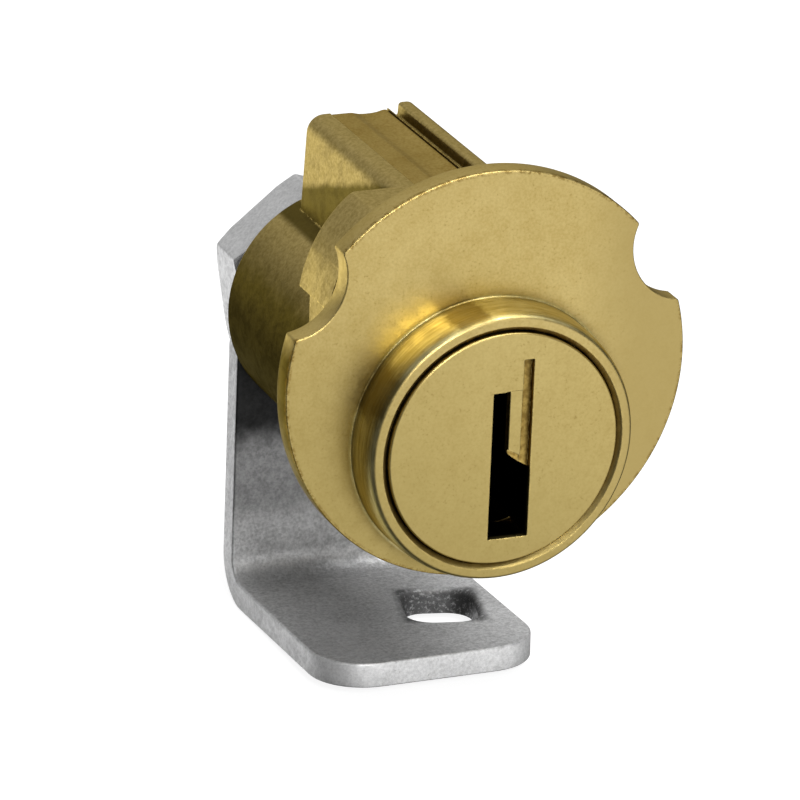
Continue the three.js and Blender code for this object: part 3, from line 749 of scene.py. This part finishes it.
# ------------------------------------------------------------------ plug
def make_plug():
    ob = lathe("plug", [(PLUG_HEAD_R - 0.13, PLUG_HEAD_FRONT)] + arc(PLUG_HEAD_R - 0.13, PLUG_HEAD_FRONT + 0.13, 0.13, -72, 0, 4)
               + [(PLUG_HEAD_R, PLUG_HEAD_REAR), (PLUG_BODY_R, PLUG_HEAD_REAR), (PLUG_BODY_R, PLUG_BODY_REAR)], 240)
    tail = lathe("tail", [(TAIL_R, PLUG_BODY_REAR - 0.5)]
                 + [(TAIL_R - 0.14 * (0.5 + 0.5 * math.cos(2 * math.pi * t / 8)), PLUG_BODY_REAR + 0.6 + 0.125 * t) for t in range(37)]
                 + [(TAIL_R - 0.4, TAIL_REAR)], 96)
    tail = common(tail, box("t", -TAIL_HALF_FLAT, TAIL_HALF_FLAT, PLUG_BODY_REAR - 1, TAIL_REAR + 1, -4, 4))
    ob = add(ob, tail)
    lug = [(5.9 * math.sin(math.radians(a)), 5.9 * math.cos(math.radians(a))) for a in range(-6, 7, 2)] + \
          [(5.15 * math.sin(math.radians(a)), 5.15 * math.cos(math.radians(a))) for a in range(6, -7, -2)]
    ob = add(ob, prism("lug", lug, PLUG_HEAD_REAR - 0.3, HEAD_BORE_REAR + 0.95))
    slot = [(-0.70, -4.98), (1.52, -4.98), (1.52, -1.20), (1.36, -1.13), (1.21, -1.04), (1.08, -0.96), (0.95, -0.88), (0.83, -0.79), (0.71, -0.70),
            (0.56, -0.59), (0.42, -0.47), (0.29, -0.35), (0.28, -0.2), (0.27, 3.12), (-0.70, 3.12)]
    ob = cut(ob, prism("slot", eased(slot, 0.03, 0.04), -1.0, KEYWAY_DEPTH))
    ob = cut(ob, box("open", -0.69, 1.51, PLUG_HEAD_REAR + 0.3, KEYWAY_DEPTH - 0.01, -5.3, -4.9))
    ledge = [(0.0, -0.9), (0.97, -0.9), (0.97, 3.16), (0.0, 3.16)]
    ob = cut(ob, prism("ledge", eased(ledge, 0.04, 0.04), -1.0, PLUG_HEAD_FRONT + 0.06))
    slope = [(0.05, 0.0), (0.60, -0.27), (0.98, -0.49), (1.49, -0.76), (1.49, -1.6), (0.05, -1.6)]
    ob = cut(ob, prism("slope", eased(slope, 0.04, 0.04), -1.0, PLUG_HEAD_FRONT + 0.24))
    groove = [(0.93, -1.7), (1.505, -1.7), (1.505, 4.82), (0.93, 4.82)]
    ob = cut(ob, prism("groove", eased(groove, 0.03, 0.03), -1.0, PLUG_HEAD_FRONT + 0.34))
    for y in PIN_Y:
        pin = [(PIN_X + 1.28 * math.cos(2 * math.pi * i / 32), y + 1.28 * math.sin(2 * math.pi * i / 32)) for i in range(32)]
        ob = cut(ob, prism("bore", pin, -0.26, 6, along="Z"))
    return ob


finish_piece(make_plug(), "keyed_plug", "turning", BRASS_PLUG, ["plug"])


# ------------------------------------------------------------------ cam
def make_cam():
    y0, y1 = CAM_FRONT, CAM_FRONT + CAM_T
    t = math.radians(CAM_TILT)
    fwd = (-math.cos(t), math.sin(t))
    nrm = (math.sin(t), math.cos(t))
    s0 = CAM_BEND_IN * (1 + math.sin(t)) / math.cos(t)
    cy = y0 - CAM_BEND_IN
    cz = CAM_TOP_Z + s0 * fwd[1] + CAM_BEND_IN * nrm[1]
    # The blank's outline, drawn flat: u is across, v runs from the head's top down the leg,
    # round the bend and out to the forward leg's free edge. It is then folded, so the sheared
    # rim keeps its rounded and its burred side all the way round.
    leg = 8.0 - cz                                   # head top at z = 8, above the head itself
    mid_r = CAM_BEND_IN
    sweep = math.radians(90 + CAM_TILT)
    bend = mid_r * sweep
    foot = arc(cy, cz, CAM_BEND_IN, 0, -(90 + CAM_TILT), 8)[-1]
    run = (foot[0] - CAM_REACH) / math.cos(t)
    total = leg + bend + run
    mid = (CAM_LEFT + CAM_RIGHT) / 2
    head = [p for p in arc(mid - 0.3, 0.0, 5.6, 190, -10, 72)]
    outline = [(p[0], 8.0 - p[1]) for p in head]
    outline += [(CAM_RIGHT, 8.0 + 3.4)]
    outline += [(CAM_RIGHT - CAM_CORNER + CAM_CORNER * math.cos(a), total - CAM_CORNER + CAM_CORNER * math.sin(a)) for a in [math.radians(90 * i / 24) for i in range(25)]]
    outline += [(CAM_LEFT + CAM_CORNER - CAM_CORNER * math.sin(a), total - CAM_CORNER + CAM_CORNER * math.cos(a)) for a in [math.radians(90 * i / 24) for i in range(25)]]
    outline += [(CAM_LEFT, 8.0 + 2.4)]
    outline = eased(outline, 0.18, 0.18)
    n = len(outline)
    # rows across the thickness: w = 0 is the inner (front and upper) face
    rows = []
    e_in, e_out = 0.16, 0.10
    for k in range(4):
        a = math.radians(90 * k / 3)
        rows.append((e_in * (1 - math.sin(a)), e_in * (1 - math.cos(a))))
    for k in range(4):
        a = math.radians(90 * k / 3)
        rows.append((e_out * (1 - math.cos(a)), CAM_T - e_out * (1 - math.sin(a))))

    # link hole and tail hole in the blank's own coordinates
    c, s = math.cos(math.radians(-15)), math.sin(math.radians(-15))
    h, q, r = 3.94 / 2 - 1.4, 4.8 / 2 - 1.4, 1.4
    corners = arc(h, -q, r, -90, 0, 8) + arc(h, q, r, 0, 90, 8) + arc(-h, q, r, 90, 180, 8) + arc(-h, -q, r, 180, 270, 8)
    slot = [(3.65 + c * x - s * y, 15.70 + s * x + c * y) for x, y in corners]
    slot = [(x, leg + bend + (foot[0] - y) / math.cos(t)) for x, y in slot]
    hole = []
    for x, z in [(TAIL_R * math.cos(a), TAIL_R * math.sin(a)) for a in [math.radians(3 * i) for i in range(120)]]:
        hole.append((max(-TAIL_HALF_FLAT - 0.06, min(TAIL_HALF_FLAT + 0.06, x * 1.02)), 8.0 - z * 1.02))

    # the blank, flat, from rows round its rim and a flat face on each side; faces standing across the sheet take the
    # second material
    flat = prism_sheet("cam", outline, rows)
    for m in ("a", "b"):
        flat.data.materials.append(bpy.data.materials.new("cam_" + m))
    bm = bmesh.new()
    bm.from_mesh(flat.data)
    for f in bm.faces:
        f.material_index = 1 if abs(f.normal.z) < 0.45 else 0
    bm.to_mesh(flat.data)
    bm.free()
    slot = dense(slot, 0.12)
    rolled = [[(p[0], p[1], w) for p in offset(slot, -o)] for o, w in
              [(0.34, -1.0)] + [(0.34 * (1 - math.sin(math.radians(18 * k))), 0.34 * (1 - math.cos(math.radians(18 * k)))) for k in range(6)] + [(0.0, CAM_T + 1.0)]]
    flat = cut(flat, rings_solid("slot", rolled))
    flat = cut(flat, prism("hole", dense(hole, 0.2), -1.0, CAM_T + 1.0, along="Z"))
    # cross cuts in the bend, so it folds smoothly
    bm = bmesh.new()
    bm.from_mesh(flat.data)
    for i in range(33):
        v = leg - 0.3 + (bend + 0.6) * i / 32
        geom = bm.verts[:] + bm.edges[:] + bm.faces[:]
        bmesh.ops.bisect_plane(bm, geom=geom, dist=1e-5, plane_co=(0, v, 0), plane_no=(0, 1, 0))
    for q in bm.verts:
        u, v, w = q.co
        if v <= leg:
            q.co = (u, y0 + w, 8.0 - v)
        elif v <= leg + bend:
            a = (v - leg) / mid_r
            rr = CAM_BEND_IN + w
            q.co = (u, cy + rr * math.cos(a), cz - rr * math.sin(a))
        else:
            d = v - leg - bend
            q.co = (u, foot[0] + fwd[0] * d - nrm[0] * w, foot[1] + fwd[1] * d - nrm[1] * w)
    bmesh.ops.recalc_face_normals(bm, faces=bm.faces)
    bm.to_mesh(flat.data)
    bm.free()
    return flat


def prism_sheet(name, outline, rows):
    """The blank, flat: u across is X, v along is Y, and the depth w is Z."""
    rings = [[(p[0], p[1], w) for p in offset(outline, inset)] for inset, w in rows]
    return rings_solid(name, rings)


finish_piece(make_cam(), "cam_plate", "turning", ZINC, ["cam"], limit=30.0, second=ZINC_RIM)


# ------------------------------------------------------------------ nut
def make_nut():
    R = NUT_AF / math.sqrt(3)
    hexagon = [(R * math.cos(math.radians(60 * i + NUT_TURN - 30)), R * math.sin(math.radians(60 * i + NUT_TURN - 30))) for i in range(6)]
    ob = prism("nut", eased(hexagon, 0.08, 0.06), NUT_FRONT, NUT_REAR)
    ease = lathe("ease", [(R - 0.5, NUT_FRONT - 0.001), (R + 0.06, NUT_FRONT + 0.34), (R + 0.06, NUT_REAR - 0.34), (R - 0.5, NUT_REAR + 0.001)], 144)
    ob = common(ob, ease)
    thread = [(TAIL_R + 1.35, NUT_FRONT - 1), (TAIL_R + 1.3, NUT_FRONT + 0.02), (TAIL_R + 0.05, NUT_FRONT + 0.4)]
    for t in range(1, 18):
        thread.append((TAIL_R + 0.05 + (0.22 if t % 2 else 0.0), NUT_FRONT + 0.4 + 0.115 * t))
    thread += [(TAIL_R + 0.45, NUT_REAR - 0.02), (TAIL_R + 0.6, NUT_REAR + 1)]
    return cut(ob, lathe("thread", thread, 96))


finish_piece(make_nut(), "tail_nut", "turning", ZINC_NUT, ["hex_nut"])

# the pins and springs keep their own shapes, which only show through the keyway or a cut
for name, node in NODES.items():
    if name.startswith(("key_pin", "driver_pin", "pin_spring")):
        node.data.materials.clear()
        node.data.materials.append(WIRE if name.startswith("pin_spring") else PIN)
        for poly in node.data.polygons:
            poly.use_smooth = True
        node.data.set_sharp_from_angle(angle=math.radians(35))


# ------------------------------------------------------------------ floor
FLOOR_Z = CAD_BOX[0][2] - 0.00005


def make_floor():
    n, size = 48, 0.9
    verts, faces = [], []
    for j in range(n + 1):
        for i in range(n + 1):
            verts.append(((i / n - 0.5) * 2 * size, (j / n - 0.5) * 2 * size, FLOOR_Z))
    for j in range(n):
        for i in range(n):
            a = j * (n + 1) + i
            faces.append((a, a + 1, a + n + 2, a + n + 1))
    me = bpy.data.meshes.new("studio_floor")
    me.from_pydata(verts, [], faces)
    ob = bpy.data.objects.new("studio_floor", me)
    bpy.context.scene.collection.objects.link(ob)
    m, nt, p = new_mat("pale_floor")
    n_ = Net(nt)
    n_.put(p.inputs["Base Color"], n_.mix(n_.noise(0.03, 2.0, 0.5), (0.28, 0.28, 0.28, 1), (0.32, 0.32, 0.32, 1)))
    p.inputs["Roughness"].default_value = 0.85
    p.inputs["Emission Color"].default_value = (1, 1, 1, 1)
    p.inputs["Emission Strength"].default_value = 0.88
    me.materials.append(m)
    ob.visible_glossy = False
    ob.visible_diffuse = False
    return ob


make_floor()


# ------------------------------------------------------------------ light
def studio():
    """A soft studio round the object: pale below and in front, dimmer towards the horizon, a soft band above the back."""
    w = bpy.data.worlds.new("studio")
    bpy.context.scene.world = w
    w.use_nodes = True
    nt = w.node_tree
    nt.nodes.clear()
    out = nt.nodes.new("ShaderNodeOutputWorld")
    bg = nt.nodes.new("ShaderNodeBackground")
    nt.links.new(bg.outputs[0], out.inputs[0])
    tc = nt.nodes.new("ShaderNodeTexCoord")
    total = None
    lobes = [
        # direction, full at, gone at, strength
        ((0.364, -0.857, -0.365), 0.76, 0.60, 0.94),
        ((-0.364, 0.857, -0.42), 0.98, 0.82, 1.5),
        ((0.0, 0.857, 0.42), 0.93, 0.64, 0.50),
        ((-0.17, -0.857, 0.50), 0.992, 0.95, 3.4),
        ((0.0, 0.0, 1.0), 0.9, 0.2, 0.22),
    ]
    for d, full, gone, strength in lobes:
        v = Vector(d).normalized()
        dot = nt.nodes.new("ShaderNodeVectorMath")
        dot.operation = "DOT_PRODUCT"
        nt.links.new(tc.outputs["Generated"], dot.inputs[0])
        dot.inputs[1].default_value = v
        r = nt.nodes.new("ShaderNodeMapRange")
        r.interpolation_type = "SMOOTHSTEP"
        nt.links.new(dot.outputs["Value"], r.inputs["Value"])
        r.inputs["From Min"].default_value = gone
        r.inputs["From Max"].default_value = full
        r.inputs["To Min"].default_value = 0.0
        r.inputs["To Max"].default_value = strength
        if total is None:
            total = r.outputs[0]
        else:
            a = nt.nodes.new("ShaderNodeMath")
            a.operation = "ADD"
            nt.links.new(total, a.inputs[0])
            nt.links.new(r.outputs[0], a.inputs[1])
            total = a.outputs[0]
    a = nt.nodes.new("ShaderNodeMath")
    a.operation = "ADD"
    nt.links.new(total, a.inputs[0])
    a.inputs[1].default_value = 0.07
    c = nt.nodes.new("ShaderNodeCombineColor")
    for i in range(3):
        nt.links.new(a.outputs[0], c.inputs[i])
    nt.links.new(c.outputs[0], bg.inputs["Color"])
    bg.inputs["Strength"].default_value = 1.0


studio()


def area(name, place_mm, aim_mm, size_mm, power, tint=(1, 1, 1)):
    d = bpy.data.lights.new(name, "AREA")
    d.shape = "DISK"
    d.size = size_mm * 0.001
    d.energy = power
    d.color = tint
    o = bpy.data.objects.new(name, d)
    bpy.context.scene.collection.objects.link(o)
    p = Vector(place_mm) * 0.001
    o.location = p
    o.rotation_euler = (Vector(aim_mm) * 0.001 - p).to_track_quat("-Z", "Y").to_euler()
    return o


area("key_light", (-52, -300, 176), (0, 8, 0), 70, 0.42)
area("top_light", (70, -60, 330), (0, 8, 0), 240, 0.9)


# ------------------------------------------------------------------ camera
def camera():
    a, e, r = math.radians(-23.0), math.radians(21.39), math.radians(2.27)
    back = Vector((math.sin(a) * math.cos(e), -math.cos(a) * math.cos(e), math.sin(e)))
    right = Vector((math.cos(a), math.sin(a), 0.0))
    up = back.cross(right)
    right2 = math.cos(r) * right + math.sin(r) * up
    up2 = -math.sin(r) * right + math.cos(r) * up
    data = bpy.data.cameras.new("camera")
    data.sensor_width = 36.0
    data.lens = 270.0
    data.clip_start = 0.02
    data.clip_end = 10.0
    cam = bpy.data.objects.new("camera", data)
    bpy.context.scene.collection.objects.link(cam)
    m = Matrix((right2, up2, back)).transposed().to_4x4()
    m.translation = Vector((-0.11668, -0.26493, 0.11445))
    cam.matrix_world = m
    bpy.context.scene.camera = cam


camera()
bpy.context.scene.view_settings.view_transform = "Standard"
bpy.context.scene.view_settings.look = "None"


bpy.context.view_layer.update()
